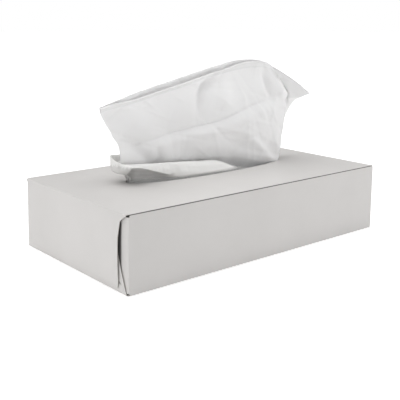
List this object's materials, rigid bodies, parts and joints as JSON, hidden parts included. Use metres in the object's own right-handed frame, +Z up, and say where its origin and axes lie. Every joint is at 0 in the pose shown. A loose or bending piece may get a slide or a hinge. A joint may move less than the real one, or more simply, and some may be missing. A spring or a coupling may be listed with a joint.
{
  "type": "tissue box",
  "caption": "Flat folded paperboard carton of facial tissues with an oval opening, a slit film insert and one sheet pulled up through it.",
  "frame": {"origin": "middle of the carton's base, on the face that it rests on", "axes": "+Z up, X along the carton's long side, -Y towards the long side with the glued seam"},
  "size_m": [0.23, 0.12, 0.129],
  "materials": {
    "board": "uncoated matt white board",
    "film": "thin milky polyethylene film",
    "tissue": "soft two-ply creped tissue"
  },
  "bodies": {
    "root": {"carton": "board", "film_insert": "film", "tissue_stack": "tissue", "pulled_tissue": "tissue"}
  },
  "joints": []
}
